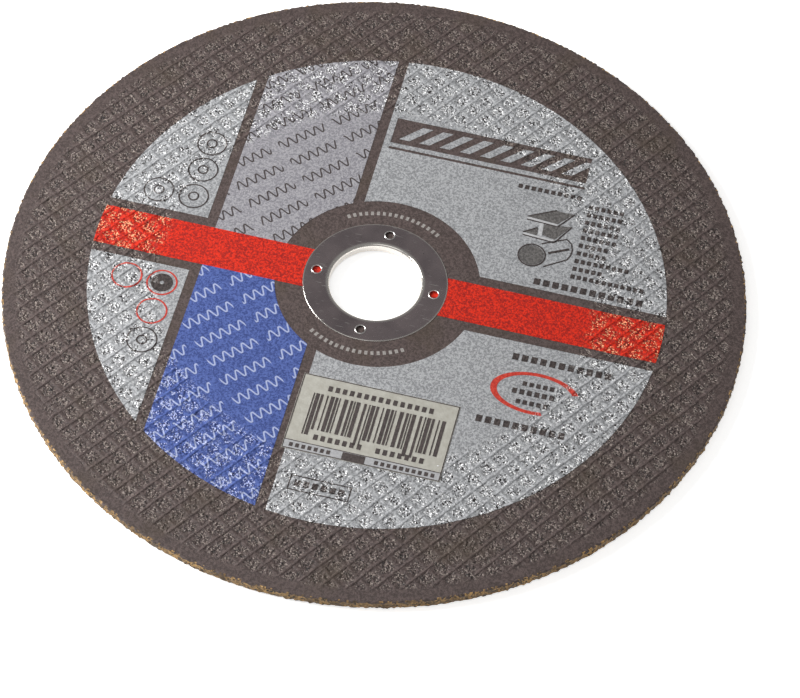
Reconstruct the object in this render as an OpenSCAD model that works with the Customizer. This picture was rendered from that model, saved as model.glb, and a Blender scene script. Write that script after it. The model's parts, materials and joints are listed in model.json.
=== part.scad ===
// Thin reinforced cut-off wheel: a pressed abrasive disc with a woven glass net in each face,
// a flanged steel ring in its bore, printed fields of colour and a paper label on the front.
// The origin is on the bore axis in the plane of the back face. +Z leaves the printed face,
// and +X runs along the red band.

/* [Wheel] */
// Outer diameter of the wheel
wheel_d = 180; // [160:1:230]
// Thickness of the wheel, from the back face to the smooth front face
wheel_t = 2.5; // [2:0.1:4]

/* [Bore ring] */
// Diameter of the bore inside the steel ring
bore_d = 22.23; // [16:0.01:25.4]
// Thickness of the steel sheet that the ring is drawn from
ring_sheet = 0.35; // [0.25:0.05:0.5]
// Outer diameter of the flange
flange_d = 35.2; // [34:0.1:42]
// Outer radius of the lip where the flange turns down into the bore
lip_r = 0.7; // [0.55:0.05:1]
// Radius on the flange's outer top edge
flange_edge_r = 0.15; // [0.05:0.05:0.2]
// Height of the flange's top above the front face
flange_proud = 0.15; // [0.05:0.05:0.25]
// Distance from the end of the collar to the back face
collar_short = 0.15; // [0.05:0.05:0.5]
// Clearance round the ring in its seat in the wheel
ring_fit = 0.03; // [0.02:0.01:0.1]
// Number of keying holes through the flange
key_hole_n = 4; // [2:1:8]
// Diameter of a keying hole
key_hole_d = 2.2; // [1:0.1:2.6]
// Diameter of the circle that the keying holes lie on
key_circle_d = 29.2; // [28.5:0.1:30.5]

/* [Woven nets] */
// Diameter of the smooth middle of each face
smooth_d = 104; // [80:1:120]
// Width of the smooth band between the woven zone and the rim
rim_band = 3; // [2:0.5:8]
// Spacing of the warp yarns
warp_pitch = 4.23; // [4:0.01:8]
// Spacing of the weft yarns
weft_pitch = 4.45; // [4:0.01:8]
// Angle of the warp yarns from the red band
warp_angle = 56.5; // [0:0.5:90]
// Distance of the first weft yarn from the bore axis, along the warp
weft_shift = -1.05; // [-2:0.05:2]
// Width of a warp yarn
warp_w = 1; // [0.6:0.1:2]
// Width of a weft yarn
weft_w = 1.2; // [0.6:0.1:2]
// Height of the yarns above the cells between them
yarn_rise = 0.22; // [0.1:0.02:0.4]
// Thickness of a net under its cells
net_t = 0.2; // [0.15:0.05:0.4]
// Clearance between a net and its recess in the disc
net_fit = 0.04; // [0.03:0.01:0.1]

/* [Print] */
// Thickness of the printed ink
ink_t = 0.06; // [0.03:0.01:0.1]
// Diameter of the printed area
print_d = 140.2; // [124:0.2:150]
// Distance that the print sits off the bore axis, along the band
print_shift = 0.55; // [0:0.05:1.5]
// Diameter of the bare circle round the bore ring
hub_d = 49.8; // [46:0.2:56]
// Width of the red band
band_w = 11.5; // [8:0.5:16]
// Width of the bare line between the band and the silver fields
band_gap = 2.5; // [1:0.1:4]
// Left edge of the column with the grey and the blue field
column_x = -41.8; // [-46:0.2:-40]
// Width of that column
column_w = 30.6; // [26:0.2:34]
// Width of the bare stripe on each side of the column
column_gap = 2.6; // [1:0.1:4]
// Left edge of the bare bar in the upper silver field
bar_x = -7; // [-7.8:0.2:2]
// Lower edge of the bare bar
bar_y = 43.1; // [40:0.1:46]
// Length of the bare bar
bar_l = 50; // [30:1:52]
// Height of the bare bar
bar_h = 8; // [5:0.5:9]
// Width of the bare line under the bar
rule_w = 0.75; // [0.4:0.05:1]
// Distance between the bar and the line under it
rule_gap = 1.25; // [0.8:0.05:2]
// Spacing of the slanted silver blocks in the bar
block_pitch = 5.2; // [4:0.1:8]
// Width of a block
block_w = 2.6; // [1.5:0.1:3.5]
// Distance that a block leans along the bar
block_lean = 2; // [0:0.1:3]
// Bare margin between the blocks and the edges of the bar
block_margin = 1.5; // [0.5:0.1:2]

/* [Paper label] */
// Left edge of the label
label_x = -9.6; // [-9.9:0.1:6]
// Upper edge of the label
label_y = -30.2; // [-34:0.1:-28]
// Length of the label along the band
label_l = 38; // [28:0.5:40]
// Height of the label across the band
label_h = 21.8; // [16:0.2:24]
// Thickness of the label
label_t = 0.1; // [0.06:0.02:0.2]

/* [Hidden] */
$fn = 180;
// Segments in a rounded corner of the ring's section
corner_steps = 6;
// Least width of net between a cell and the edge of the woven zone
net_edge = 0.3;

wheel_r = wheel_d / 2;
bore_r = bore_d / 2;
flange_r = flange_d / 2;
collar_r = bore_r + ring_sheet;
ring_top = wheel_t + flange_proud;
flange_floor = ring_top - ring_sheet;
seat_z = flange_floor - ink_t;
lip_in_r = bore_r + lip_r;
seat_chamfer = lip_r - ring_sheet;
weave_in_r = smooth_d / 2;
weave_out_r = wheel_r - rim_band;
recess_t = net_t + yarn_rise;
cell_size = [weft_pitch - weft_w, warp_pitch - warp_w];
cell_reach = norm(cell_size) / 2 + net_edge;
cell_n = ceil(wheel_r / min(weft_pitch, warp_pitch));
silver_gap_w = band_w + 2 * band_gap;
column_clear_w = column_w + 2 * column_gap;
block_h = bar_h - 2 * block_margin;
block_room = bar_l - 2 * block_margin - block_w - block_lean;
block_last = floor(block_room / block_pitch);

// Points of an arc round a centre, from one angle to another
function arc(centre, r, from, to) = [
    for (i = [0 : corner_steps])
        let (a = from + (to - from) * i / corner_steps)
        centre + r * [cos(a), sin(a)]
];

// Recess for a net, as a ring cut down from the plane at height z
module net_recess(z, h) {
    translate([0, 0, z])
        difference() {
            cylinder(r = weave_out_r, h = h);
            translate([0, 0, -h])
                cylinder(r = weave_in_r, h = 3 * h);
        }
}

// Centre of a cell of the weave, counted along the warp and across it: cells lie between the yarns
function cell_centre(i, j) = [(i + 0.5) * weft_pitch + weft_shift, (j + 0.5) * warp_pitch];

// Does a cell lie inside the woven zone?
function is_woven(i, j) =
    let (r = norm(cell_centre(i, j)))
    r - cell_reach > weave_in_r && r + cell_reach < weave_out_r;

// Outlines of all the cells that the yarns leave between them
module weave_cells() {
    rotate(warp_angle)
        for (i = [-cell_n : cell_n], j = [-cell_n : cell_n])
            if (is_woven(i, j))
                translate(cell_centre(i, j))
                    square(cell_size, center = true);
}

// One woven net, face up, with the tops of its yarns in the plane z = 0
module woven_net() {
    difference() {
        translate([0, 0, -recess_t])
            linear_extrude(recess_t)
                difference() {
                    circle(r = weave_out_r - net_fit);
                    circle(r = weave_in_r + net_fit);
                }
        translate([0, 0, -yarn_rise])
            linear_extrude(2 * yarn_rise)
                weave_cells();
    }
}

// A coat of ink inside the outline given as its child: on the smooth face and the yarns,
// and on the floor of each cell
module ink_coat() {
    translate([0, 0, wheel_t])
        linear_extrude(ink_t)
            difference() {
                children();
                weave_cells();
            }
    translate([0, 0, wheel_t - yarn_rise])
        linear_extrude(ink_t)
            intersection() {
                children();
                weave_cells();
            }
}

// Outline of the whole printed area, without the bare circle round the ring
module print_area() {
    translate([print_shift, 0])
        difference() {
            circle(d = print_d);
            circle(d = hub_d);
        }
}

// Strip along the band, as wide as given and right across the wheel
module band_strip(w) {
    translate([-wheel_r, -w / 2])
        square([wheel_d, w]);
}

// Half of the column, above the band or, with side = -1, below it
module column_half(side) {
    scale([1, side])
        translate([column_x, band_w / 2])
            square([column_w, wheel_r]);
}

// Row of slanted blocks in the middle of the bar
module bar_blocks() {
    row_start = bar_x + block_margin + (block_room - block_last * block_pitch) / 2;
    for (i = [0 : block_last])
        translate([row_start + i * block_pitch, bar_y + block_margin])
            polygon([[0, 0], [block_w, 0], [block_w + block_lean, block_h], [block_lean, block_h]]);
}

// Bare bar and the bare line under it
module title_bar() {
    translate([bar_x, bar_y])
        square([bar_l, bar_h]);
    translate([bar_x, bar_y - rule_gap - rule_w])
        square([bar_l, rule_w]);
}

module abrasive_disc() {
    color("#57504c")
        difference() {
            cylinder(r = wheel_r, h = wheel_t);
            translate([0, 0, -wheel_t])
                cylinder(r = collar_r + ring_fit, h = 3 * wheel_t);
            translate([0, 0, seat_z - seat_chamfer])
                cylinder(r1 = collar_r + ring_fit, r2 = collar_r + ring_fit + seat_chamfer, h = seat_chamfer);
            translate([0, 0, seat_z])
                cylinder(r = flange_r + ring_fit, h = wheel_t);
            net_recess(wheel_t - recess_t, 2 * recess_t);
            net_recess(-recess_t, 2 * recess_t);
        }
}

module front_net() {
    color("#5b5450")
        translate([0, 0, wheel_t])
            woven_net();
}

module back_net() {
    color("#5b5450")
        rotate([180, 0, 0])
            woven_net();
}

module bore_ring() {
    outer_edge = arc([flange_r - flange_edge_r, ring_top - flange_edge_r], flange_edge_r, 0, 90);
    lip_outside = arc([lip_in_r, ring_top - lip_r], lip_r, 90, 180);
    lip_inside = arc([lip_in_r, ring_top - lip_r], lip_r - ring_sheet, 180, 90);
    collar_end = [[bore_r, collar_short], [collar_r, collar_short]];
    color("#8d9198")
        difference() {
            rotate_extrude()
                polygon(concat(
                    [[flange_r, flange_floor]],
                    outer_edge,
                    lip_outside,
                    collar_end,
                    lip_inside
                ));
            for (i = [0 : key_hole_n - 1])
                rotate(i * 360 / key_hole_n)
                    translate([key_circle_d / 2, 0, 0])
                        cylinder(d = key_hole_d, h = 2 * ring_top);
        }
}

module silver_print() {
    color("#b4b6b8")
        ink_coat() {
            difference() {
                print_area();
                band_strip(silver_gap_w);
                translate([column_x - column_gap, -wheel_r])
                    square([column_clear_w, wheel_d]);
                title_bar();
            }
            bar_blocks();
        }
}

module grey_print() {
    color("#9c9da0")
        ink_coat()
            intersection() {
                print_area();
                column_half(1);
            }
}

module blue_print() {
    color("#3f59b5")
        ink_coat()
            intersection() {
                print_area();
                column_half(-1);
            }
}

module red_print() {
    color("#d63a22") {
        ink_coat()
            difference() {
                intersection() {
                    translate([print_shift, 0])
                        circle(d = print_d);
                    band_strip(band_w);
                }
                circle(r = flange_r + ring_fit);
            }
        translate([0, 0, seat_z])
            linear_extrude(ink_t)
                intersection() {
                    difference() {
                        circle(r = flange_r);
                        circle(r = lip_in_r);
                    }
                    band_strip(band_w);
                }
    }
}

module paper_label() {
    color("#d9d3bf")
        translate([label_x, label_y - label_h, wheel_t + ink_t])
            cube([label_l, label_h, label_t]);
}

abrasive_disc();
front_net();
back_net();
bore_ring();
silver_print();
grey_print();
blue_print();
red_print();
paper_label();
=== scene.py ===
import json
import math

import bpy
import numpy as np
from mathutils import Matrix, Vector, noise

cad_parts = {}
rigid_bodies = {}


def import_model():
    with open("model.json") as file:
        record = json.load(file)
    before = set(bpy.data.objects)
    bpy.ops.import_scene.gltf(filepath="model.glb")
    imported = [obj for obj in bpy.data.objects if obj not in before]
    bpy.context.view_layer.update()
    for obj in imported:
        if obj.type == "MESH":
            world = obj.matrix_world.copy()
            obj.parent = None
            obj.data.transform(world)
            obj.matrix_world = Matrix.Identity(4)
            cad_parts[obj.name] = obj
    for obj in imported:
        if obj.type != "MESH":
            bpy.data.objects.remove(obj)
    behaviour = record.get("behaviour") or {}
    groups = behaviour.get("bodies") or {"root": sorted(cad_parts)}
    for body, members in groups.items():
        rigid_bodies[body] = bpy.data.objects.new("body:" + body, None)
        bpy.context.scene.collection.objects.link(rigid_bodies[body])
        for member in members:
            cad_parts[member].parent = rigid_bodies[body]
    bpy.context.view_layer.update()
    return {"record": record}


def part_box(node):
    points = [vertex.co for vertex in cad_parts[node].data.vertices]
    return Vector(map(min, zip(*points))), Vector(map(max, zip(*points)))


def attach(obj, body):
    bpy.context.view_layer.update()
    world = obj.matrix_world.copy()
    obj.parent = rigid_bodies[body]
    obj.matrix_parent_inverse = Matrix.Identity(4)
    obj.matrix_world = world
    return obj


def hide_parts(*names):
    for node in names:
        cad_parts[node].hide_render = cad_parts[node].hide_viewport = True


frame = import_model()

MM = 0.001
LOW, HIGH = 0, 1
X, Y, Z = 0, 1, 2


def side(node, end, axis):
    """Where a CAD node's box ends along one axis, in millimetres."""
    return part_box(node)[end][axis] / MM


# Sizes in millimetres, from the CAD nodes where their boxes give them
WHEEL_R = side("abrasive_disc", HIGH, X)
FACE_Z = side("abrasive_disc", HIGH, Z)
FLANGE_R = side("bore_ring", HIGH, X)
RING_TOP = side("bore_ring", HIGH, Z)
COLLAR_END = side("bore_ring", LOW, Z)
BORE_R = frame["record"]["mounts"][0]["dims"]["r_mm"]
RING_SHEET = 0.35
LIP_R = 0.7
RING_FIT = 0.03
FLANGE_GAP = 0.005
RING_EDGE_R = 0.15
COLLAR_FRAY = 0.12
KEY_HOLE_R = 1.1
KEY_CIRCLE_R = 14.6
KEY_HOLES = 4
BURR_R = 0.16
BURR_OUT = 0.12

RIM_EDGE = 0.12
RIM_WEAR = 0.12
RIM_BAND = 0.65
RIM_LIP = 0.4
GRIT = 0.8
GRIT_RISE = 0.42
GRIT_STARTS = 0.6
GRIT_FULL = 0.1
SWELL = 2.5
SWELL_RISE = 0.15
CHIP = 0.9
CHIP_OVER = 0.12

WEAVE_OUT = side("front_net", HIGH, X)
WEAVE_IN = 52.04
NET_DEPTH = 0.42
WARP_TURN = math.radians(56.5)
WARP_PITCH = 4.23
WEFT_PITCH = 4.45
WEFT_SHIFT = -1.05
WARP_W = 1.0
WEFT_W = 1.2
YARN_EDGE = 0.4
WEFT_SHARE = 0.8
CELL_DEPTH = 0.06
PATCH_R = 1.65
PATCH_EDGE = 0.4
GRAIN = 0.6
GRAIN_RISE = 0.28
CLUMP = 1.5
CLUMP_RISE = 0.06
WEAVE_STARTS_OVER = 3.0
WEAVE_ENDS_OVER = 1.5
ZONE_WAVER = 0.4

INK_T = 0.06
COAT_SHARE = 0.85  # of the ink's thickness, so that a coat stops short of the face under it
PRINT_R = 70.1
PRINT_SHIFT = 0.55
HUB_R = 24.9
BAND_Y = side("red_print", HIGH, Y)
SILVER_Y = BAND_Y + 2.5
COLUMN_LEFT = side("grey_print", LOW, X)
COLUMN_RIGHT = side("grey_print", HIGH, X)
COLUMN_GAP = 2.6
BAR = (-7.0, 43.0, 43.1, 51.1)
RULE = (-7.0, 43.0, 41.1, 41.85)
BLOCK_PITCH = 5.2
BLOCK_W = 2.6
BLOCK_LEAN = 2.0
BLOCK_MARGIN = 1.5
BLOCKS = 9
ROW_TURN = math.radians(44)
ROW_PITCH = 6.2
ROW_SHIFT = 4.65
MARK_STEP = 0.35
MARK_LIFT = 0.03
FILM_SHARE = 0.8  # of a mark's lift
SIGN_R = 3.6

# How finely the faces are cut. The front weave and the inks share one grid, so that they meet everywhere.
SEGMENTS = 1152
HUB_RINGS = 14
PRINT_RINGS = 41
OUTER_RINGS = 38
RIM_RINGS = 8
BACK_SEGMENTS = 900
BACK_RINGS = 60
RING_SEGMENTS = 240
UNDER_SEGMENTS = 120
SKIN = 0.1  # a face's vertices lie nearer than this to its plane
CUT_REACH = 1e-7


def ramp(values, start, end):
    """Rises smoothly from 0 at start to 1 at end."""
    t = np.clip((values - start) / (end - start), 0, 1)
    return t * t * (3 - 2 * t)


def grains(x, y, size, layer=0.0):
    """Smooth random heights from -1 to 1, about one grain of the given size apart."""
    return np.array([noise.noise((a, b, layer)) for a, b in zip(x / size, y / size)])


def woven_height(x, y):
    """Height of a woven face over the plane of the smooth face: warp yarns that pass over the weft
    yarns, and a shallow dish with a round patch of grain in each cell between them."""
    along = x * math.cos(WARP_TURN) + y * math.sin(WARP_TURN) - WEFT_SHIFT
    across = y * math.cos(WARP_TURN) - x * math.sin(WARP_TURN)
    from_weft = np.abs(along - WEFT_PITCH * np.round(along / WEFT_PITCH))
    from_warp = np.abs(across - WARP_PITCH * np.round(across / WARP_PITCH))
    warp = ramp(from_warp, WARP_W / 2 + YARN_EDGE, WARP_W / 2 - YARN_EDGE)
    weft = ramp(from_weft, WEFT_W / 2 + YARN_EDGE, WEFT_W / 2 - YARN_EDGE)
    dish = -CELL_DEPTH * (1 - np.maximum(warp, WEFT_SHARE * weft))
    from_middle = np.hypot(WEFT_PITCH / 2 - from_weft, WARP_PITCH / 2 - from_warp)
    patch = ramp(from_middle, PATCH_R + PATCH_EDGE, PATCH_R - PATCH_EDGE)
    bumps = GRAIN_RISE * grains(x, y, GRAIN) + CLUMP_RISE * grains(x, y, CLUMP, layer=7.0)
    return dish + patch * bumps


def face_height(x, y):
    """Height of the whole face over its plane, level inside and outside the woven zone."""
    r = np.hypot(x, y) + ZONE_WAVER * grains(x, y, 3.0, layer=3.0)
    starts = ramp(r, WEAVE_IN, WEAVE_IN + WEAVE_STARTS_OVER)
    ends = ramp(r, WEAVE_OUT, WEAVE_OUT - WEAVE_ENDS_OVER)
    return woven_height(x, y) * starts * ends


def print_centre(r):
    """How far the ring of a face at radius r lies off the bore axis: the print is a little off it."""
    edges = [FLANGE_R, HUB_R, WEAVE_IN, PRINT_R, WEAVE_OUT]
    return np.interp(r, edges, [0, PRINT_SHIFT, 0, PRINT_SHIFT, 0])


def edit(mode="EDIT"):
    """Goes into edit mode, or into the mode given."""
    bpy.ops.object.mode_set(mode=mode)


def activate(piece):
    """Makes a piece the only one that is selected, and the one that operators act on."""
    bpy.ops.object.select_all(action="DESELECT")
    piece.select_set(True)
    bpy.context.view_layer.objects.active = piece


def begin(name):
    """A new piece at the origin with one vertex there, selected, in edit mode."""
    bpy.ops.object.select_all(action="DESELECT")
    bpy.ops.mesh.primitive_plane_add(size=MM)
    piece = bpy.context.active_object
    piece.name = piece.data.name = name
    edit()
    bpy.ops.mesh.merge(type="CENTER")
    return piece


def begin_marks(name):
    """A new piece at the origin with nothing in it yet, in edit mode."""
    piece = begin(name)
    bpy.ops.mesh.delete(type="VERT")
    return piece


def turned(name, profile, segments, closed=True):
    """A piece turned round the bore axis from a profile of (radius, height) points."""
    piece = begin(name)
    r, z = profile[0]
    bpy.ops.transform.translate(value=(r * MM, 0, z * MM))
    for (r0, z0), (r1, z1) in zip(profile, profile[1:]):
        step = ((r1 - r0) * MM, 0, (z1 - z0) * MM)
        bpy.ops.mesh.extrude_region_move(TRANSFORM_OT_translate={"value": step})
    if closed:
        close_profile()
    edit("OBJECT")
    apply_modifier(
        piece, "SCREW", axis="Z", angle=2 * math.pi, steps=segments, render_steps=segments,
        use_merge_vertices=True, merge_threshold=1e-6)
    edit()
    bpy.ops.mesh.select_all(action="SELECT")
    bpy.ops.mesh.normals_make_consistent(inside=False)
    edit("OBJECT")
    return piece


def close_profile():
    """Joins the two ends of the chain of vertices that is being edited."""
    edit("OBJECT")
    mesh = bpy.context.active_object.data
    used = [0] * len(mesh.vertices)
    for edge in mesh.edges:
        for index in edge.vertices:
            used[index] += 1
    for vertex in mesh.vertices:
        vertex.select = used[vertex.index] == 1
    for edge in mesh.edges:
        edge.select = False
    edit()
    bpy.ops.mesh.edge_face_add()


def reshape(piece, change):
    """Moves a piece's vertices. The change takes and gives x, y and z in millimetres."""
    points = np.empty(len(piece.data.vertices) * 3, np.float32)
    piece.data.vertices.foreach_get("co", points)
    x, y, z = change(*(points.reshape(-1, 3).T.astype(float) / MM))
    points = np.stack([x, y, z], axis=1) * MM
    piece.data.vertices.foreach_set("co", points.ravel().astype(np.float32))
    piece.data.update()


def face_up(piece):
    """Turns a sheet's faces upwards."""
    activate(piece)
    edit()
    bpy.ops.mesh.select_all(action="SELECT")
    bpy.ops.mesh.normals_make_consistent(inside=False)
    edit("OBJECT")
    if sum(face.normal.z for face in piece.data.polygons) < 0:
        edit()
        bpy.ops.mesh.flip_normals()
        edit("OBJECT")


def select_faces(piece, wanted):
    """Selects the faces whose centre and normal pass a test, in object mode."""
    for vertex in piece.data.vertices:
        vertex.select = False
    for edge in piece.data.edges:
        edge.select = False
    for face in piece.data.polygons:
        face.select = wanted(face.center / MM, face.normal)


def apply_modifier(piece, kind, **settings):
    """Adds one modifier with its settings and applies it."""
    activate(piece)
    modifier = piece.modifiers.new(kind.title(), kind)
    for name, value in settings.items():
        setattr(modifier, name, value)
    bpy.ops.object.modifier_apply(modifier=modifier.name)


def join(pieces, name):
    """Makes one piece of several."""
    bpy.ops.object.select_all(action="DESELECT")
    for piece in pieces:
        piece.select_set(True)
    bpy.context.view_layer.objects.active = pieces[0]
    bpy.ops.object.join()
    pieces[0].name = pieces[0].data.name = name
    return pieces[0]


def smooth(piece, angle):
    """Shades a piece smooth, apart from edges sharper than an angle in degrees."""
    activate(piece)
    bpy.ops.object.shade_smooth_by_angle(angle=math.radians(angle))


def dress(piece, material, slot, *nodes):
    """Gives a finished piece its material and its body, and hides the CAD nodes it stands for. Its slot is
    not used.
    """
    if not piece.data.materials:
        piece.data.materials.append(material)
    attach(piece, "root")
    if nodes:
        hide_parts(*nodes)
    return piece


# Materials

def linear(code):
    """An sRGB hex colour as the linear colour that a shader takes."""
    parts = [int(code[i:i + 2], 16) / 255 for i in (1, 3, 5)]
    return [c / 12.92 if c <= 0.04045 else ((c + 0.055) / 1.055) ** 2.4 for c in parts] + [1.0]


def add(tree, kind, *values, **settings):
    """Adds one node with its settings. Its inputs take the values in turn, or by name from one dict.
    A value may be another node or a socket, which is linked, or an sRGB hex colour."""
    node = tree.nodes.new("ShaderNode" + kind)
    for name, value in settings.items():
        setattr(node, name, value)
    if values and isinstance(values[0], dict):
        pairs = [(node.inputs[name], value) for name, value in values[0].items()]
    else:
        pairs = zip([socket for socket in node.inputs if socket.enabled], values)
    for socket, value in pairs:
        if isinstance(value, bpy.types.Node):
            value = next(output for output in value.outputs if output.enabled)
        if isinstance(value, bpy.types.NodeSocket):
            tree.links.new(value, socket)
        else:
            socket.default_value = linear(value) if isinstance(value, str) else value
    return node


def start_material(name, roughness, metallic=0.0, ior=1.5):
    """A new material, its constants set on its shader, and the place that its patterns read."""
    material = bpy.data.materials.new(name)
    material.use_nodes = True
    tree = material.node_tree
    shader = tree.nodes["Principled BSDF"]
    shader.inputs["Roughness"].default_value = roughness
    shader.inputs["Metallic"].default_value = metallic
    shader.inputs["IOR"].default_value = ior
    place = add(tree, "TexCoord").outputs["Object"]
    return material, tree, shader, place


def weave_pattern(tree, place):
    """The weave as it shows through resin and ink: the height of its yarns in millimetres, and 1 in the
    ragged patch of grain in each cell between them. The yarns waver a little, as in any net."""
    warp_foot, warp_crest, warp_rise = 0.56, 0.06, 0.18
    weft_foot, weft_crest, weft_rise = 0.85, 0.0, 0.1
    raggedness, patch_blur = 4.0, 0.6
    ragged_mean = raggedness / 2
    starts_over, ends_over = 2.0, 1.2
    waver = add(tree, "TexNoise", {"Vector": place, "Scale": 1 / (6 * MM), "Detail": 1.0}).outputs["Color"]
    waver_reach = Vector((0.5, 0.5, 0)) * MM
    moved = add(tree, "VectorMath", waver, waver_reach, place, operation="MULTIPLY_ADD")
    start = Matrix.Rotation(WARP_TURN, 3, "Z") @ Vector((WEFT_SHIFT * MM, 0, 0)) + waver_reach / 2
    counted = add(
        tree, "Mapping",
        {"Vector": moved, "Location": start, "Rotation": (0, 0, WARP_TURN), "Scale": (MM, MM, MM)},
        vector_type="TEXTURE")
    half = Vector((WEFT_PITCH / 2, WARP_PITCH / 2, 0))
    off = add(tree, "VectorMath", counted, half, -half, operation="WRAP")
    off = add(tree, "VectorMath", off, operation="ABSOLUTE")
    away = add(tree, "SeparateXYZ", off).outputs
    warp = add(
        tree, "MapRange", away["Y"], warp_foot, warp_crest, 0.0, warp_rise, interpolation_type="SMOOTHSTEP")
    weft = add(
        tree, "MapRange", away["X"], weft_foot, weft_crest, 0.0, weft_rise, interpolation_type="SMOOTHSTEP")
    yarn = add(tree, "Math", warp, weft, operation="MAXIMUM")
    ragged = add(tree, "TexNoise", {"Vector": place, "Scale": 1 / (1.3 * MM), "Detail": 3.0})
    from_middle = add(tree, "VectorMath", off, half, operation="DISTANCE").outputs["Value"]
    from_middle = add(tree, "Math", ragged, raggedness, from_middle, operation="MULTIPLY_ADD")
    cell = add(
        tree, "MapRange", from_middle, PATCH_R + ragged_mean + patch_blur, PATCH_R + ragged_mean - PATCH_EDGE,
        interpolation_type="SMOOTHSTEP")
    level_place = add(tree, "VectorMath", place, (1, 1, 0), operation="MULTIPLY")
    r = add(tree, "VectorMath", level_place, operation="LENGTH").outputs["Value"]
    starts = add(tree, "MapRange", r, WEAVE_IN * MM, (WEAVE_IN + starts_over) * MM)
    ends = add(tree, "MapRange", r, WEAVE_OUT * MM, (WEAVE_OUT - ends_over) * MM)
    zone = add(tree, "Math", starts, ends, operation="MULTIPLY")
    yarn_height = add(tree, "Math", yarn, zone, operation="MULTIPLY")
    return yarn_height, add(tree, "Math", cell, zone, operation="MULTIPLY")


def grain_relief(tree, shader, place, tones, rows=None):
    """Colour and relief of a face over abrasive grain. The tones are the two of a fine mottle, one of the
    pits between grains, partly dirt and partly painted shade, and a painted highlight on grains that catch
    the light.
    Grain is 0.3 to 0.8 mm across, faint where the resin is level, and bare in the cells of the weave."""
    low, high, pit_dirt_and_shade_tone, painted_glint_tone = tones
    mottle_rise, swell_rise = 0.2, 0.75
    yarn, cell = weave_pattern(tree, place)
    fine = add(
        tree, "TexNoise", {"Vector": place, "Scale": 1 / (0.55 * MM), "Detail": 3.0, "Roughness": 0.8})
    lumps = add(tree, "TexVoronoi", {"Vector": place, "Scale": 1 / (0.33 * MM)}).outputs
    swell = add(tree, "TexNoise", {"Vector": place, "Scale": 1 / (0.75 * MM), "Detail": 2.0})
    chance = add(tree, "SeparateColor", lumps["Color"]).outputs
    top = add(tree, "MapRange", lumps["Distance"], 0.7, 0.35, interpolation_type="SMOOTHSTEP")
    bright = add(tree, "MapRange", chance["Red"], 0.6, 0.66)
    dark_pick = add(tree, "MapRange", chance["Green"], 0.72, 0.78)
    # Painted highlight: a share of the grain tops in the weave's cells takes the glint tone, for the light
    # that the grains catch.
    painted_glint = add(tree, "Math", bright, top, operation="MULTIPLY")
    painted_glint = add(tree, "Math", painted_glint, cell, operation="MULTIPLY")
    # Dark specks in the cells: partly dirt, partly painted shade in the pits between grains.
    pit_dirt_and_shade = add(tree, "Math", dark_pick, cell, operation="MULTIPLY")
    tone = add(tree, "Mix", add(tree, "MapRange", fine, 0.43, 0.57), low, high, data_type="RGBA")
    if rows:
        tone = add(tree, "Mix", wave_rows(tree, place), tone, rows, data_type="RGBA")
    tone = add(tree, "Mix", pit_dirt_and_shade, tone, pit_dirt_and_shade_tone, data_type="RGBA")
    tone = add(tree, "Mix", painted_glint, tone, painted_glint_tone, data_type="RGBA")
    tree.links.new(tone.outputs["Result"], shader.inputs["Base Color"])
    lump_height = add(tree, "Math", swell, swell_rise, -swell_rise / 2, operation="MULTIPLY_ADD")
    lump_height = add(tree, "Math", lump_height, cell, operation="MULTIPLY")
    rough = add(tree, "Math", fine, mottle_rise, lump_height, operation="MULTIPLY_ADD")
    height = add(tree, "Math", rough, yarn, operation="ADD")
    normal = add(tree, "Bump", {"Height": height, "Distance": MM})
    tree.links.new(normal.outputs[0], shader.inputs["Normal"])


def pressed_bond():
    """Pressed resin bond: dark brown-grey and dull, browner in faint patches, with grain in the weave's cells
    whose light specks are a painted highlight and whose dark specks are partly dirt, partly painted shade."""
    material, tree, shader, place = start_material("pressed_resin_bond", 0.65)
    # The bond's tones: low and high of its mottle, its pits, partly dirt and partly painted shade, and its
    # glints, a painted highlight.
    grain_relief(tree, shader, place, ("#392d2a", "#584a47", "#1f1816", "#8e827a"))
    stain = add(tree, "TexNoise", {"Vector": place, "Scale": 1 / (11 * MM), "Detail": 3.0})
    even = shader.inputs["Base Color"].links[0].from_node
    stained = add(tree, "MapRange", stain, 0.52, 0.72, 0.0, 0.45)
    tone = add(tree, "Mix", stained, even, "#453828", data_type="RGBA")
    tree.links.new(tone.outputs["Result"], shader.inputs["Base Color"])
    return material


def rim_grit():
    """Rim grit, left bare by the mould: grain in golden-brown resin, dull and speckled."""
    material, tree, shader, place = start_material("bare_rim_grit", 0.6)
    lumps = add(tree, "TexVoronoi", {"Vector": place, "Scale": 1 / (0.5 * MM)}).outputs
    chance = add(tree, "SeparateColor", lumps["Color"]).outputs["Red"]
    cloud = add(tree, "TexNoise", {"Vector": place, "Scale": 1 / (4 * MM), "Detail": 2.0})
    tone = add(tree, "Mix", add(tree, "MapRange", chance, 0.1, 0.9), "#221a12", "#b8925c", data_type="RGBA")
    tone = add(tree, "Mix", add(tree, "MapRange", cloud, 0.45, 0.75), tone, "#54412c", data_type="RGBA")
    tree.links.new(tone.outputs["Result"], shader.inputs["Base Color"])
    normal = add(tree, "Bump", {"Height": lumps["Distance"], "Distance": 0.15 * MM})
    tree.links.new(normal.outputs[0], shader.inputs["Normal"])
    return material


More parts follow.
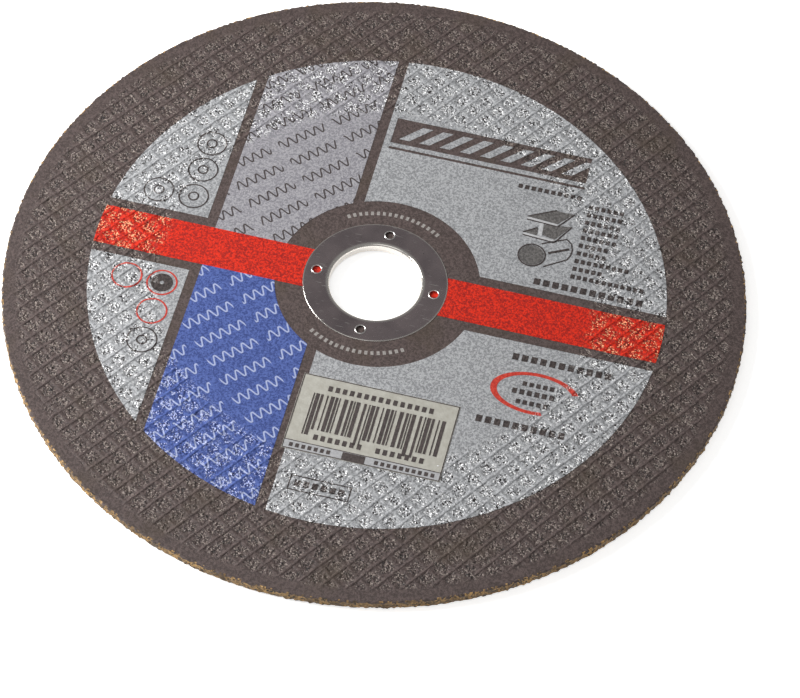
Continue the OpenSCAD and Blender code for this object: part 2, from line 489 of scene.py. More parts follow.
def wave_rows(tree, place):
    """Slanting rows of a plain wavy line, broken into lengths: 1 on the line and 0 beside it."""
    period, reach, length, gap = 2.5, 1.15, 15.5, 2.5
    half_line, line_edge = 0.2, 0.08
    start = Matrix.Rotation(ROW_TURN, 3, "Z") @ Vector((0, ROW_SHIFT * MM, 0))
    counted = add(
        tree, "Mapping",
        {"Vector": place, "Location": start, "Rotation": (0, 0, ROW_TURN), "Scale": (MM, MM, MM)},
        vector_type="TEXTURE")
    along, across, _ = add(tree, "SeparateXYZ", counted).outputs
    off = add(tree, "Math", across, ROW_PITCH / 2, -ROW_PITCH / 2, operation="WRAP")
    turns = 2 * math.pi / period
    turn = add(tree, "Math", along, turns, operation="MULTIPLY")
    wave = add(tree, "Math", add(tree, "Math", turn, operation="SINE"), reach, operation="MULTIPLY")
    slope = add(tree, "Math", turn, operation="COSINE")
    slope = add(tree, "Math", slope, reach * turns, operation="MULTIPLY")
    steepness = add(tree, "Math", slope, slope, 1.0, operation="MULTIPLY_ADD")
    steepness = add(tree, "Math", steepness, operation="SQRT")
    away = add(tree, "Math", off, wave, operation="SUBTRACT")
    away = add(tree, "Math", add(tree, "Math", away, operation="ABSOLUTE"), steepness, operation="DIVIDE")
    line = add(
        tree, "MapRange", away, half_line + line_edge, half_line - line_edge, interpolation_type="SMOOTHSTEP")
    stretch = add(tree, "Math", along, length, 0.0, operation="WRAP")
    unbroken = add(tree, "Math", stretch, length - gap, operation="LESS_THAN")
    return add(tree, "Math", line, unbroken, operation="MULTIPLY")


def screen_ink(name, tones, roughness, metallic=0.0, rows=None):
    """Screen-printed ink: a thin even coat that shows the grain of the bond as a fine mottle, with painted
    highlights on the grains in the weave's cells and pits darkened partly as dirt, partly as painted shade.
    Flakes in the silver and the grey make them a little metallic."""
    material, tree, shader, place = start_material(name, roughness, metallic, ior=1.4)
    grain_relief(tree, shader, place, tones, rows)
    return material


def drawn_steel():
    """Tinned steel sheet, drawn and stamped: a soft grey mirror, with a painted highlight, a paler tone, over
    the lip and along its cut edge, and a few fine scratches. They are drawn wider than they are, so that they
    show."""
    lip_starts, lip_full, edge_starts = 1.2, 0.5, 0.35
    material, tree, shader, place = start_material("drawn_tinned_steel", 0.2, 1.0)
    cloud = add(tree, "TexNoise", {"Vector": place, "Scale": 1 / (7 * MM), "Detail": 2.0})
    scuff = add(tree, "TexNoise", {"Vector": place, "Scale": 1 / (0.5 * MM), "Detail": 3.0})
    tone = add(tree, "Mix", add(tree, "MapRange", cloud, 0.35, 0.65), "#918688", "#a79a9b", data_type="RGBA")
    level_place = add(tree, "VectorMath", place, (1, 1, 0), operation="MULTIPLY")
    r = add(tree, "VectorMath", level_place, operation="LENGTH").outputs["Value"]
    # Painted highlight: the lip and the cut edge of the flange take a paler tone for the light they reflect.
    drawn = add(
        tree, "MapRange", r, (BORE_R + lip_starts) * MM, (BORE_R + lip_full) * MM,
        interpolation_type="SMOOTHSTEP")
    cut = add(tree, "MapRange", r, (FLANGE_R - edge_starts) * MM, (FLANGE_R - RING_EDGE_R) * MM)
    lip_and_edge_highlight = add(tree, "Math", drawn, cut, operation="MAXIMUM")
    tone = add(tree, "Mix", lip_and_edge_highlight, tone, "#d8d3cd", data_type="RGBA")
    tone = add(tree, "Mix", add(tree, "MapRange", scuff, 0.66, 0.74), tone, "#6a6567", data_type="RGBA")
    scratch = (1 / (4 * MM), 1 / (0.25 * MM), 1)
    for lean in (0.5, 2.1):
        drawn_out = add(tree, "Mapping", {"Vector": place, "Rotation": (0, 0, lean), "Scale": scratch})
        line = add(tree, "TexNoise", {"Vector": drawn_out, "Scale": 1.0, "Detail": 1.0})
        tone = add(tree, "Mix", add(tree, "MapRange", line, 0.71, 0.75), tone, "#e4dfda", data_type="RGBA")
    tree.links.new(tone.outputs["Result"], shader.inputs["Base Color"])
    roughness = add(tree, "MapRange", scuff, 0.3, 0.7, 0.12, 0.3)
    tree.links.new(roughness.outputs[0], shader.inputs["Roughness"])
    normal = add(tree, "Bump", {"Height": cloud, "Distance": 0.12 * MM})
    tree.links.new(normal.outputs[0], shader.inputs["Normal"])
    return material


def pressed_burr():
    """Steel turned up by a punch, a little rough, toned paler than the ring's steel as a painted highlight.
    """
    material, tree, shader, place = start_material("punched_steel_burr", 0.3, 1.0)
    mottle = add(tree, "TexNoise", {"Vector": place, "Scale": 1 / (0.3 * MM), "Detail": 2.0})
    tone = add(tree, "Mix", add(tree, "MapRange", mottle, 0.35, 0.65), "#b5b3b1", "#e6e4e1", data_type="RGBA")
    tree.links.new(tone.outputs["Result"], shader.inputs["Base Color"])
    return material


def label_paper():
    """Uncoated cream paper, pressed: matt, with soft clouds. Its fibre is drawn coarse, so that it shows."""
    material, tree, shader, place = start_material("cream_label_paper", 0.8)
    cloud = add(tree, "TexNoise", {"Vector": place, "Scale": 1 / (1.6 * MM), "Detail": 4.0})
    fibre = add(tree, "TexNoise", {"Vector": place, "Scale": 1 / (0.5 * MM), "Detail": 3.0})
    tone = add(tree, "Mix", add(tree, "MapRange", cloud, 0.3, 0.7), "#a19e94", "#b0aea5", data_type="RGBA")
    tree.links.new(tone.outputs["Result"], shader.inputs["Base Color"])
    normal = add(tree, "Bump", {"Height": fibre, "Distance": 0.05 * MM})
    tree.links.new(normal.outputs[0], shader.inputs["Normal"])
    return material


def mark_ink(name, low, high):
    """Ink of the small marks, printed in a single dense pass: dull, with a mottle drawn coarse to show."""
    material, tree, shader, place = start_material(name, 0.6)
    mottle = add(tree, "TexNoise", {"Vector": place, "Scale": 1 / (0.5 * MM), "Detail": 2.0})
    tone = add(tree, "Mix", add(tree, "MapRange", mottle, 0.3, 0.7), low, high, data_type="RGBA")
    tree.links.new(tone.outputs["Result"], shader.inputs["Base Color"])
    return material


BOND = pressed_bond()
RIM = rim_grit()
# Each ink's tones: low and high of its mottle, its pits, partly dirt and partly painted shade, and its
# glints, a painted highlight.
SILVER = screen_ink("silver_screen_ink", ("#858688", "#b2b3b5", "#292322", "#ffffff"), 0.6, 0.2)
GREY = screen_ink("grey_screen_ink", ("#807e84", "#a3a1a5", "#2b2625", "#ffffff"), 0.6, 0.1, "#3f3736")
BLUE = screen_ink("blue_screen_ink", ("#2f407b", "#5064a5", "#242e62", "#c0c9f2"), 0.6, 0.0, "#9fa8c9")
RED = screen_ink("red_screen_ink", ("#8f0a00", "#dc2700", "#6e0d00", "#ffb486"), 0.65)
STEEL = drawn_steel()
BURR_HIGHLIGHT = pressed_burr()
PAPER = label_paper()
SLATE = screen_ink("slate_screen_ink", ("#4d4a49", "#6a6765", "#332e2d", "#d4d3d1"), 0.6)
MIST = mark_ink("mist_screen_ink", "#98989a", "#adadae")
DARK = screen_ink("dark_screen_ink", ("#2b2423", "#4b4240", "#1d1614", "#a9a4a1"), 0.6)
SCARLET = screen_ink("scarlet_screen_ink", ("#ad2b20", "#c9402f", "#6c150e", "#ecb4ab"), 0.6)
PALE = mark_ink("pale_screen_ink", "#827d79", "#a09b97")
CHALK = mark_ink("chalk_screen_ink", "#a6a6a7", "#bebebf")
TONER = mark_ink("black_label_toner", "#332c2b", "#4f4644")


# Pieces

def round_corner(centre, r, start, end, steps=5):
    """Profile points on an arc, from one angle to another, in degrees."""
    angles = np.radians(np.linspace(start, end, steps + 1))
    return [(centre[0] + r * math.cos(a), centre[1] + r * math.sin(a)) for a in angles]


def level(start, end, z, steps):
    """Profile points along a level stretch, without its first point."""
    return [(r, z) for r in np.linspace(start, end, steps + 1)[1:]]


def wheel_body():
    """The abrasive disc: smooth faces, a recess for each net, and a rim of bare grit."""
    seat_r = BORE_R + RING_SHEET + RING_FIT
    seat_z = RING_TOP - RING_SHEET - INK_T
    seat_edge = FLANGE_R + RING_FIT
    net_floor = FACE_Z - NET_DEPTH
    rim_r = WHEEL_R - RIM_EDGE
    profile = [(seat_r, 0), (seat_r, seat_z), (seat_edge, seat_z), (seat_edge, FACE_Z)]
    profile += level(seat_edge, WEAVE_IN, FACE_Z, HUB_RINGS)
    profile += [(WEAVE_IN, net_floor), (WEAVE_OUT, net_floor), (WEAVE_OUT, FACE_Z)]
    profile += level(WEAVE_OUT, rim_r, FACE_Z, RIM_RINGS)
    profile += [(WHEEL_R, z) for z in np.linspace(FACE_Z - RIM_EDGE, RIM_EDGE, RIM_RINGS)]
    profile += [(rim_r, 0)] + level(rim_r, WEAVE_OUT, 0, RIM_RINGS)
    profile += [(WEAVE_OUT, NET_DEPTH), (WEAVE_IN, NET_DEPTH), (WEAVE_IN, 0)]
    profile += level(WEAVE_IN, seat_r, 0, HUB_RINGS)[:-1]
    piece = turned("wheel_body", profile, SEGMENTS)

    def roughen(x, y, z):
        """The rim is grit that stands out unevenly, and has worn back a little."""
        r = np.hypot(x, y)
        arc = np.arctan2(y, x) * WHEEL_R
        grit = GRIT_RISE * grains(arc, z, GRIT) + SWELL_RISE * grains(arc, z, SWELL, layer=5.0)
        at_rim = ramp(r, WHEEL_R - GRIT_STARTS, WHEEL_R - GRIT_FULL)
        scale = 1 + (grit - RIM_WEAR) * at_rim / r
        return x * scale, y * scale, z

    reshape(piece, roughen)
    piece.data.materials.append(BOND)
    piece.data.materials.append(RIM)
    centres = np.empty(3 * len(piece.data.polygons))
    piece.data.polygons.foreach_get("center", centres)
    x, y, z = centres.reshape(-1, 3).T / MM
    r = np.hypot(x, y)
    chipped = grains(np.arctan2(y, x) * WHEEL_R, z, CHIP, layer=9.0) > CHIP_OVER
    above_back = z > 0.01
    on_rim = above_back & (r > WHEEL_R - RIM_BAND) & ((z < FACE_Z - RIM_LIP) | chipped)
    piece.data.polygons.foreach_set("material_index", on_rim.astype(np.int32))
    smooth(piece, 50)
    return dress(piece, BOND, "abrasive", "abrasive_disc")


def net_profile(rings, top, bottom):
    """A net's profile, with the rings of vertices that its face needs."""
    return [(rings[0], bottom), (rings[-1], bottom)] + [(r, top) for r in rings[::-1]]


def weave(name, node, front):
    """One net in its recess, with the relief of its yarns and cells."""
    if front:
        rings = list(np.linspace(WEAVE_IN, PRINT_R, PRINT_RINGS))
        rings += list(np.linspace(PRINT_R, WEAVE_OUT, OUTER_RINGS)[1:])
        piece = turned(name, net_profile(rings, FACE_Z, FACE_Z - NET_DEPTH), SEGMENTS)
    else:
        rings = list(np.linspace(WEAVE_IN, WEAVE_OUT, BACK_RINGS))
        piece = turned(name, net_profile(rings, 0, NET_DEPTH), BACK_SEGMENTS)

    def raise_yarns(x, y, z):
        if front:
            x = x + print_centre(np.hypot(x, y))
            return x, y, np.where(z > FACE_Z - SKIN, z + face_height(x, y), z)
        return x, y, np.where(z < SKIN, z - face_height(x, -y), z)

    reshape(piece, raise_yarns)
    smooth(piece, 60)
    return dress(piece, BOND, "glass_net", node)


def printed_face(inner_r):
    """The whole printed area as one coat on the face, before it is cut to its fields."""
    rings = list(np.linspace(inner_r, WEAVE_IN, HUB_RINGS))
    rings += list(np.linspace(WEAVE_IN, PRINT_R, PRINT_RINGS)[1:])
    piece = turned("coat", [(r, FACE_Z) for r in rings], SEGMENTS, closed=False)

    def lay(x, y, z):
        x = x + print_centre(np.hypot(x, y))
        return x, y, z + INK_T + face_height(x, y)

    reshape(piece, lay)
    face_up(piece)
    return piece


def field(coat, *cuts):
    """A copy of the coat, cut by lines. A cut is a point and the direction of what is taken off."""
    activate(coat)
    bpy.ops.object.duplicate()
    piece = bpy.context.active_object
    edit()
    for (x, y), (along_x, along_y) in cuts:
        bpy.ops.mesh.select_all(action="SELECT")
        bpy.ops.mesh.bisect(
            plane_co=(x * MM, y * MM, 0), plane_no=(along_x, along_y, 0), clear_outer=True,
            threshold=CUT_REACH)
    edit("OBJECT")
    return piece


def cut_window(piece, left, right, low, high):
    """Takes a rectangle out of a coat."""
    activate(piece)
    edit()
    for x, y, along_x, along_y in ((left, 0, 1, 0), (right, 0, 1, 0), (0, low, 0, 1), (0, high, 0, 1)):
        bpy.ops.mesh.select_all(action="SELECT")
        bpy.ops.mesh.bisect(
            plane_co=(x * MM, y * MM, 0), plane_no=(along_x, along_y, 0), threshold=CUT_REACH)
    edit("OBJECT")
    select_faces(piece, lambda c, n: left < c.x < right and low < c.y < high)
    edit()
    bpy.ops.mesh.delete(type="FACE")
    edit("OBJECT")


def finish_ink(piece, material, slot, node):
    """Gives a cut coat its thickness and its finish."""
    apply_modifier(piece, "SOLIDIFY", thickness=COAT_SHARE * INK_T * MM, offset=-1)
    smooth(piece, 60)
    return dress(piece, material, slot, node)


def bar_blocks(coat):
    """A row of slanted blocks of ink in the bare bar."""
    left, right, low, high = BAR
    low, high = low + BLOCK_MARGIN, high - BLOCK_MARGIN
    strip = field(coat, ((0, low), (0, -1)), ((0, high), (0, 1)), ((left, 0), (-1, 0)), ((right, 0), (1, 0)))
    room = right - left - BLOCK_W - BLOCK_LEAN - (BLOCKS - 1) * BLOCK_PITCH
    rise = high - low
    blocks = []
    for i in range(BLOCKS):
        x = left + room / 2 + i * BLOCK_PITCH
        sides = (((x, low), (-rise, BLOCK_LEAN)), ((x + BLOCK_W, low), (rise, -BLOCK_LEAN)))
        blocks.append(field(strip, *sides))
    bpy.data.objects.remove(strip)
    return blocks


def prints():
    """The four inks, each cut from one coat, and the band also where it runs on under the flange."""
    coat = printed_face(HUB_R)
    right, left = COLUMN_RIGHT + COLUMN_GAP, COLUMN_LEFT - COLUMN_GAP
    silver = []
    for up in (1, -1):
        beside_band = ((0, up * SILVER_Y), (0, -up))
        silver.append(field(coat, beside_band, ((right, 0), (-1, 0))))
        silver.append(field(coat, beside_band, ((left, 0), (1, 0))))
    cut_window(silver[0], *BAR)
    cut_window(silver[0], *RULE)
    silver += bar_blocks(coat)
    silver = finish_ink(join(silver, "silver_ink"), SILVER, "silver_ink", "silver_print")
    for up, name, material in ((1, "grey", GREY), (-1, "blue", BLUE)):
        beside_band = ((0, up * BAND_Y), (0, -up))
        piece = field(coat, beside_band, ((COLUMN_LEFT, 0), (-1, 0)), ((COLUMN_RIGHT, 0), (1, 0)))
        piece.name = piece.data.name = name + "_ink"
        finish_ink(piece, material, name + "_ink", name + "_print")
    bpy.data.objects.remove(coat)
    band = printed_face(FLANGE_R + RING_FIT)
    flange_floor = RING_TOP - RING_SHEET - FLANGE_GAP
    under_flange = turned(
        "under_flange", [(BORE_R + LIP_R, flange_floor), (FLANGE_R, flange_floor)], UNDER_SEGMENTS,
        closed=False)
    face_up(under_flange)
    edges = ((0, BAND_Y), (0, 1)), ((0, -BAND_Y), (0, -1))
    red = join([field(band, *edges), field(under_flange, *edges)], "red_ink")
    finish_ink(red, RED, "red_ink", "red_print")
    for piece in (band, under_flange):
        bpy.data.objects.remove(piece)
    return silver


def steel_ring():
    """The drawn ring: a flange with four keying holes, a rounded lip and a collar in the bore."""
    floor = RING_TOP - RING_SHEET
    collar_r = BORE_R + RING_SHEET
    lip = (BORE_R + LIP_R, RING_TOP - LIP_R)
    profile = [(FLANGE_R, floor)]
    profile += round_corner((FLANGE_R - RING_EDGE_R, RING_TOP - RING_EDGE_R), RING_EDGE_R, 0, 90, 4)
    profile += level(FLANGE_R - RING_EDGE_R, lip[0], RING_TOP, 6)[:-1]
    profile += round_corner(lip, LIP_R, 90, 180, 8)
    profile += [(BORE_R, COLLAR_END), (collar_r, COLLAR_END)]
    profile += round_corner(lip, LIP_R - RING_SHEET, 180, 90, 5)
    piece = turned("steel_ring", profile, RING_SEGMENTS)

    def fray(x, y, z):
        """The cut end of the collar is ragged."""
        ragged = COLLAR_FRAY * grains(x, y, 1.1, layer=9.0) + COLLAR_FRAY
        return x, y, np.where(z < COLLAR_END + SKIN, z + ragged, z)

    reshape(piece, fray)
    piece.data.materials.append(STEEL)
    first_hole = (KEY_CIRCLE_R * MM, 0, RING_TOP * MM)
    bpy.ops.object.select_all(action="DESELECT")
    bpy.ops.mesh.primitive_cylinder_add(
        vertices=40, radius=KEY_HOLE_R * MM, depth=2 * MM, location=first_hole)
    for drill in round_the_bore(bpy.context.active_object):
        apply_modifier(piece, "BOOLEAN", object=drill, operation="DIFFERENCE", solver="EXACT")
        bpy.data.objects.remove(drill)
    bpy.ops.object.select_all(action="DESELECT")
    bpy.ops.mesh.primitive_torus_add(
        major_segments=48, minor_segments=10, major_radius=(KEY_HOLE_R + BURR_OUT) * MM,
        minor_radius=BURR_R * MM, location=first_hole)
    burr = bpy.context.active_object
    # The burrs take the paler steel, a painted highlight round each keying hole.
    burr.data.materials.append(BURR_HIGHLIGHT)
    join([piece] + round_the_bore(burr), "steel_ring")
    smooth(piece, 35)
    return dress(piece, STEEL, "tinned_steel", "bore_ring")


def round_the_bore(piece):
    """A piece at the first keying hole and a copy of it at each other one, all placed in their meshes."""
    activate(piece)
    bpy.ops.object.transform_apply(location=True)
    pieces = [piece]
    for i in range(1, KEY_HOLES):
        activate(piece)
        bpy.ops.object.duplicate()
        edit()
        bpy.ops.mesh.select_all(action="SELECT")
        bpy.ops.transform.rotate(
            value=-2 * math.pi * i / KEY_HOLES, orient_axis="Z", center_override=(0, 0, 0))
        edit("OBJECT")
        pieces.append(bpy.context.active_object)
    return pieces


def label_sheet():
    """The paper label, laid over the silver field and dented a little by the weave under it."""
    thickness, dent, curl = 0.05, 0.35, 0.03
    low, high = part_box("paper_label")
    size, middle = high - low, (low + high) / 2
    bpy.ops.object.select_all(action="DESELECT")
    bpy.ops.mesh.primitive_grid_add(x_subdivisions=95, y_subdivisions=55, size=1)
    piece = bpy.context.active_object
    piece.name = piece.data.name = "label_sheet"
    edit()
    bpy.ops.mesh.select_all(action="SELECT")
    bpy.ops.transform.resize(value=(size.x, size.y, 1))
    bpy.ops.transform.translate(value=(middle.x, middle.y, low.z))
    edit("OBJECT")

    def settle(x, y, z):
        return x, y, z + thickness + dent * face_height(x, y) + curl * grains(x, y, 6.0)

    reshape(piece, settle)
    apply_modifier(piece, "SOLIDIFY", thickness=thickness * MM, offset=-1)
    smooth(piece, 60)
    return dress(piece, PAPER, "label_paper", "paper_label")


# Small marks

def mark_place(u, v):
    """Where a mark starts, above the face, before it is laid down."""
    return (u * MM, v * MM, (FACE_Z + 1) * MM)


def dash(u, v, length, height, turn=0.0):
    """Adds a flat dash, centred at (u, v), to the marks that are being edited."""
    at = mark_place(u, v)
    bpy.ops.mesh.primitive_grid_add(
        x_subdivisions=math.ceil(length / MARK_STEP), y_subdivisions=math.ceil(height / MARK_STEP),
        size=MM, location=at)
    bpy.ops.transform.resize(value=(length, height, 1), center_override=at)
    if turn:
        bpy.ops.transform.rotate(value=-turn, orient_axis="Z", center_override=at)


def dash_row(u, v, length, height, dash_w, gap):
    """A row of dashes from u on, along v."""
    count = max(1, round((length + gap) / (dash_w + gap)))
    for i in range(count):
        dash(u + dash_w / 2 + i * (dash_w + gap), v, dash_w, height)


def ring(u, v, r, width, steps=1):
    """A flat ring whose line is as wide as given, made wider in steps."""
    at = mark_place(u, v)
    inner = r - width / 2
    bpy.ops.mesh.primitive_circle_add(
        vertices=72, radius=inner * MM, fill_type="NOTHING", location=at)
    for i in range(steps):
        bpy.ops.mesh.extrude_region_move()
        grow = (inner + (i + 1) * width / steps) / (inner + i * width / steps)
        bpy.ops.transform.resize(value=(grow, grow, 1), center_override=at)


def frame_line(left, right, low, high, width):
    """The outline of a box."""
    for v in (low, high):
        dash((left + right) / 2, v, right - left + width, width)
    for u in (left, right):
        dash(u, (low + high) / 2, width, high - low - width)


def open_oval(u, v, half_l, half_h, line):
    """A thick oval line, open on one side."""
    start, sweep, steps = math.radians(20), math.radians(265), 4
    at = mark_place(u, v)
    bpy.ops.mesh.primitive_plane_add(size=MM, location=at)
    bpy.ops.mesh.merge(type="CENTER")
    inner = half_l - line / 2
    bpy.ops.transform.translate(value=(inner * math.cos(start) * MM, inner * math.sin(start) * MM, 0))
    push = line / steps * MM
    for _ in range(steps):
        bpy.ops.mesh.extrude_region_move(
            TRANSFORM_OT_translate={"value": (push * math.cos(start), push * math.sin(start), 0)})
    bpy.ops.mesh.select_linked()
    bpy.ops.mesh.spin(steps=120, angle=-sweep, center=at, axis=(0, 0, 1))
    bpy.ops.mesh.select_linked()
    bpy.ops.transform.resize(value=(1, half_h / half_l, 1), center_override=at)


def slab(corners):
    """A flat slab with the given four corners, cut fine enough to lie on the relief."""
    at = [mark_place(u, v) for u, v in corners]
    bpy.ops.mesh.primitive_plane_add(size=MM, location=at[0])
    bpy.ops.mesh.merge(type="CENTER")
    for here, there in zip(at, at[1:]):
        step = [b - a for a, b in zip(here, there)]
        bpy.ops.mesh.extrude_region_move(TRANSFORM_OT_translate={"value": step})
    bpy.ops.mesh.select_linked()
    bpy.ops.mesh.edge_face_add()
    longest = max(math.dist(a, b) for a, b in zip(at, at[1:])) / MM
    bpy.ops.mesh.subdivide(number_cuts=math.ceil(longest / MARK_STEP))


def stroke(start, end, width=0.3):
    """A straight line between two points."""
    du, dv = end[0] - start[0], end[1] - start[1]
    middle_u, middle_v = (start[0] + end[0]) / 2, (start[1] + end[1]) / 2
    dash(middle_u, middle_v, math.hypot(du, dv), width, math.atan2(dv, du))


def finish_marks(piece, target, material, slot, lift=MARK_LIFT):
    """Lays marks on the surface under them as a thin film, and gives them their finish."""
    edit("OBJECT")
    apply_modifier(
        piece, "SHRINKWRAP", target=target, wrap_method="PROJECT", use_project_z=True,
        use_negative_direction=True, use_positive_direction=False, offset=lift * MM)
    face_up(piece)
    apply_modifier(piece, "SOLIDIFY", thickness=FILM_SHARE * lift * MM, offset=-1)
    dress(piece, material, slot)


# Rows of dashes: where a row starts, its length and height, and the width and gap of its dashes
LIST_LENGTHS = (9, 9, 8.5, 9.5, 9, 7, 6.5, 14, 6.5, 18.5)
LIST_PITCH = 2.43
FACE_ROWS = [(45.3, 36 - LIST_PITCH * i, length, 1.3, 1.05, 0.5) for i, length in enumerate(LIST_LENGTHS)]
FACE_ROWS += [
    (27, 38.1, 16, 1.3, 1.1, 0.55), (37, 10.4, 28, 1.9, 1.6, 0.7), (37, -12.6, 25, 1.9, 1.5, 0.75),
    (41, -19.7, 7, 1.3, 1.1, 0.55), (39, -22.2, 11, 1.5, 1.2, 0.6), (40.5, -25, 8, 1.3, 1.1, 0.55),
    (32.5, -32.1, 21, 1.9, 1.5, 0.7), (-4, -60.7, 12, 1.7, 1.4, 0.7)]
LABEL_ROWS = (
    (-3, -33.2, 25, 1.5, 1.0, 0.75), (-3, -47.4, 12, 1.5, 1.0, 0.75), (12, -47.4, 12, 1.5, 1.0, 0.75),
    (-8, -50.7, 10, 1.1, 0.9, 0.6), (12.5, -50.7, 14, 1.1, 0.9, 0.6))

# Centres of the round signs, by the ink of their rings
DARK_SIGNS = ((-49.7, 30.9), (-49.6, 22.4), (-49.6, 13.8), (-58.4, 13.6), (-49.6, -31.0))
RED_SIGNS = ((-58.5, -13.6), (-49.7, -13.6), (-49.7, -22.3))
FILLED_SIGN = RED_SIGNS[1]

# A box by its left, right, low and high sides, and an oval by its centre, half length and half height
MARK_BOX = (-5.2, 9.2, -62.7, -58.8)
OVAL = (44.5, -22, 10.0, 5.5)

# Lines and a strip that run across the label
LABEL_MIDDLE = 9.4
LABEL_LINE_L = 37.6


def dark_marks(silver):
    """Dark marks on the silver fields: plain rows of dashes, rings and a box."""
    piece = begin_marks("dark_marks")
    for row in FACE_ROWS:
        dash_row(*row)
    frame_line(*MARK_BOX, 0.3)
    for sign in DARK_SIGNS:
        ring(*sign, SIGN_R, 0.35)
        ring(*sign, SIGN_R / 3, 0.4)
    ring(*FILLED_SIGN, 1.6, 2.2, 5)
    finish_marks(piece, silver, DARK, "abrasive")


def red_marks(silver):
    """Red marks on the silver fields: plain rings and an open oval."""
    piece = begin_marks("red_marks")
    for sign in RED_SIGNS:
        ring(*sign, SIGN_R, 0.4)
    open_oval(*OVAL, 1.6)
    finish_marks(piece, silver, SCARLET, "red_ink")


# The pictures on the silver field: four corners of each shaded side and pale edge, and ends of each line
BEAM_SHADES = (
    ((31.2, 29.3), (37.9, 32.8), (42.2, 32.7), (38.9, 28.8)),
    ((35.7, 27.8), (36.0, 24.6), (39.2, 23.9), (42.4, 28.8)),
    ((31.5, 24.4), (34.3, 26.4), (34.6, 26.3), (34.8, 24.1)))
BEAM_EDGES = (
    ((31.2, 29.2), (31.5, 28.5), (39.1, 28.1), (38.9, 28.7)),
    ((34.6, 28.2), (35.0, 24.3), (35.9, 24.2), (35.6, 28.2)),
    ((31.2, 24.2), (31.5, 23.6), (39.4, 23.1), (39.2, 23.7)))
BEAM_LINES = (
    ((31.2, 29.3), (37.9, 32.9)), ((31.3, 28.4), (39.1, 28.0)), ((39.1, 28.0), (42.4, 32.7)),
    ((31.2, 24.3), (34.4, 26.5)), ((31.3, 23.5), (39.3, 23.0)), ((39.3, 23.0), (42.6, 28.8)))
TUBE_SIDE = (
    (36.4, 21.9), (42.1, 24.8), (43.5, 23.7), (44.1, 21.9), (44.0, 20.2), (43.4, 18.7), (38.3, 15.2))
TUBE_STRIPE = ((38.6, 19.5), (43.3, 22.0))
TUBE_END = (34.8, 17.9)


def work_pictures(silver):
    """Plain pictures of what the wheel cuts, a beam and a tube. Each ink lies over the one before it."""
    shades = begin_marks("picture_shades")
    for corners in BEAM_SHADES:
        slab(corners)
    ring(*TUBE_END, 1.55, 2.9, 7)
    finish_marks(shades, silver, SLATE, "abrasive")
    edges = begin_marks("picture_edges")
    for corners in BEAM_EDGES:
        slab(corners)
    finish_marks(edges, silver, CHALK, "abrasive", 2 * MARK_LIFT)
    lines = begin_marks("picture_lines")
    for start, end in list(zip(TUBE_SIDE, TUBE_SIDE[1:])) + list(BEAM_LINES):
        stroke(start, end)
    stroke(*TUBE_STRIPE, 0.6)
    ring(*TUBE_END, 3.3, 0.35)
    finish_marks(lines, silver, DARK, "abrasive", 3 * MARK_LIFT)


def hub_marks(body):
    """Pale dashes on two arcs round the ring."""
    arc_r, count, pitch, wide, high = 21, 17, 4.0, 0.75, 1.1
    piece = begin_marks("hub_marks")
    for middle in (90, -90):
        for i in range(count):
            angle = math.radians(middle + (i - count // 2) * pitch)
            dash(arc_r * math.cos(angle), arc_r * math.sin(angle), wide, high, angle - math.pi / 2)
    finish_marks(piece, body, PALE, "silver_ink")


def label_strip(label):
    """A grey strip along the foot of the label."""
    piece = begin_marks("label_strip")
    dash(LABEL_MIDDLE, -50.75, LABEL_LINE_L, 2.3)
    finish_marks(piece, label, MIST, "silver_ink")


def label_marks(label):
    """Plain upright bars on the label, with rows of dashes over and under them, and a line round it."""
    line, thin, top, end = 0.22, 0.3, -35.2, 25.4
    piece = begin_marks("label_marks")
    frame_line(-9.4, 28.2, -51.8, -30.4, line)
    dash(LABEL_MIDDLE, -49.5, LABEL_LINE_L, line)
    u, i = -6.0, 0
    while u < end:
        wide = thin + thin * (i * 5 % 3)
        long = 12.0 if i % 11 < 2 else 10.2
        dash(u + wide / 2, top - long / 2, wide, long)
        u += wide + thin + thin * (i * 7 % 4 % 3)
        i += 1
    for row in LABEL_ROWS:
        dash_row(*row)
    dash(7.5, -50.7, 5.5, 2.0)
    finish_marks(piece, label, TONER, "abrasive", 2 * MARK_LIFT)


body = wheel_body()
weave("front_weave", "front_net", True)
weave("back_weave", "back_net", False)
silver_field = prints()
steel_ring()
paper = label_sheet()
dark_marks(silver_field)
red_marks(silver_field)
hub_marks(body)
label_strip(paper)
label_marks(paper)
work_pictures(silver_field)


# Stage, light and camera

# Each lamp's direction and height in degrees, its distance and size in metres, and its power in watts
LAMPS = (("key", 181, 31, 0.65, 0.3, 6.9), ("fill", 250, 60, 1.6, 1.0, 3.0))
# The room's strength low down and overhead, and how far up it has dimmed
ROOM_LOW, ROOM_HIGH, ROOM_DIM_AT = 1.0, 0.3, 0.3


def stage():
    """A white floor under the wheel. What the camera and the steel see of it is lifted towards white."""
    size, drop, white_lift = 8, 0.0003, 0.64
    bpy.ops.object.select_all(action="DESELECT")
    bpy.ops.mesh.primitive_plane_add(size=size, location=(0, 0, -drop))
    floor = bpy.context.active_object
    floor.name = "floor"
    material, tree, shader, _ = start_material("white_paper_floor", 0.9)
    shader.inputs["Base Color"].default_value = linear("#f2f1ef")
    shader.inputs["Emission Color"].default_value = (1, 1, 1, 1)
    rays = add(tree, "LightPath").outputs
    seen = add(tree, "Math", rays["Is Camera Ray"], rays["Is Glossy Ray"], operation="MAXIMUM")
    seen = add(tree, "Math", seen, rays["Is Transmission Ray"], operation="MAXIMUM")
    lift = add(tree, "Math", seen, white_lift, operation="MULTIPLY")
    tree.links.new(lift.outputs[0], shader.inputs["Emission Strength"])
    floor.data.materials.append(material)


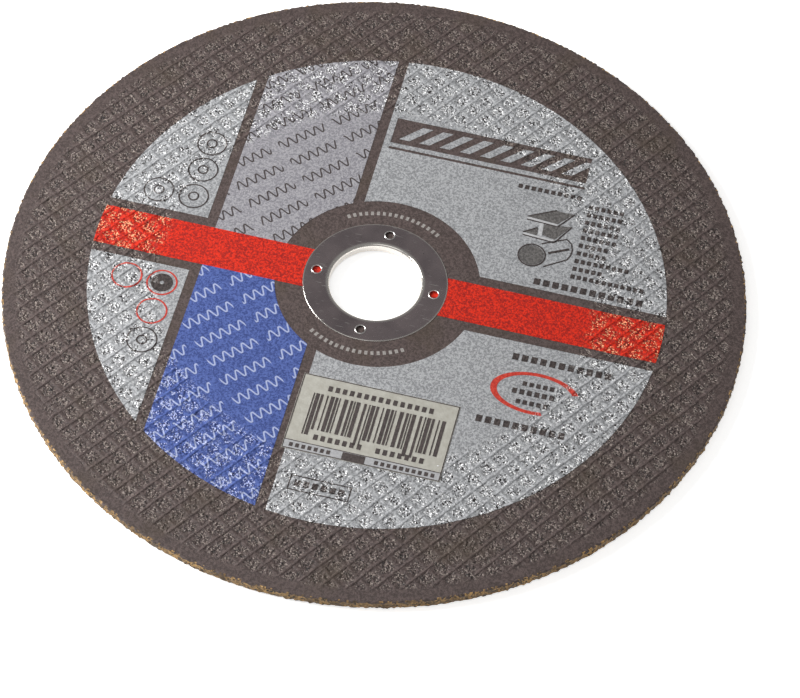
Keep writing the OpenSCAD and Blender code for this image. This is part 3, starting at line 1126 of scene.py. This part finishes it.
def lights():
    """A room that is white low down and dim overhead, a key lamp from the left and a soft fill."""
    world = bpy.data.worlds.new("studio")
    bpy.context.scene.world = world
    world.use_nodes = True
    tree = world.node_tree
    background = tree.nodes["Background"]
    background.inputs["Color"].default_value = (1, 1, 1, 1)
    up = add(tree, "SeparateXYZ", add(tree, "TexCoord").outputs["Generated"]).outputs["Z"]
    strength = add(tree, "MapRange", up, 0.0, ROOM_DIM_AT, ROOM_LOW, ROOM_HIGH)
    tree.links.new(strength.outputs[0], background.inputs["Strength"])
    for name, turn, height, distance, size, power in LAMPS:
        lamp = bpy.data.lights.new(name, "AREA")
        lamp.size, lamp.energy = size, power
        lamp_object = bpy.data.objects.new(name, lamp)
        bpy.context.collection.objects.link(lamp_object)
        a, e = math.radians(turn), math.radians(height)
        aim = Matrix.Rotation(a + math.pi / 2, 4, "Z") @ Matrix.Rotation(math.pi / 2 - e, 4, "X")
        lamp_object.matrix_world = aim @ Matrix.Translation((0, 0, distance))


# The photograph's view: the camera circles the face's centre, then shifts in its own picture plane
VIEW_TURN = math.radians(11.5)
VIEW_HEIGHT = math.radians(54.78)
VIEW_ROLL = math.radians(2.946)
VIEW_DISTANCE = 782.8
VIEW_PAN = (5.983, -16.156)
LENS = 145.58
SENSOR = 36


def camera():
    """The camera, with no depth of field."""
    data = bpy.data.cameras.new("camera")
    data.lens, data.sensor_width = LENS, SENSOR
    data.clip_start, data.clip_end = 0.05, 20
    view = bpy.data.objects.new("camera", data)
    bpy.context.collection.objects.link(view)
    turn = Matrix.Rotation(VIEW_TURN, 4, "Z") @ Matrix.Rotation(math.pi / 2 - VIEW_HEIGHT, 4, "X")
    turn = turn @ Matrix.Rotation(VIEW_ROLL, 4, "Z")
    shift = Matrix.Translation((VIEW_PAN[0] * MM, VIEW_PAN[1] * MM, VIEW_DISTANCE * MM))
    view.matrix_world = Matrix.Translation((0, 0, FACE_Z * MM)) @ turn @ shift
    bpy.context.scene.camera = view


stage()
lights()
camera()
bpy.context.scene.view_settings.view_transform = "Standard"
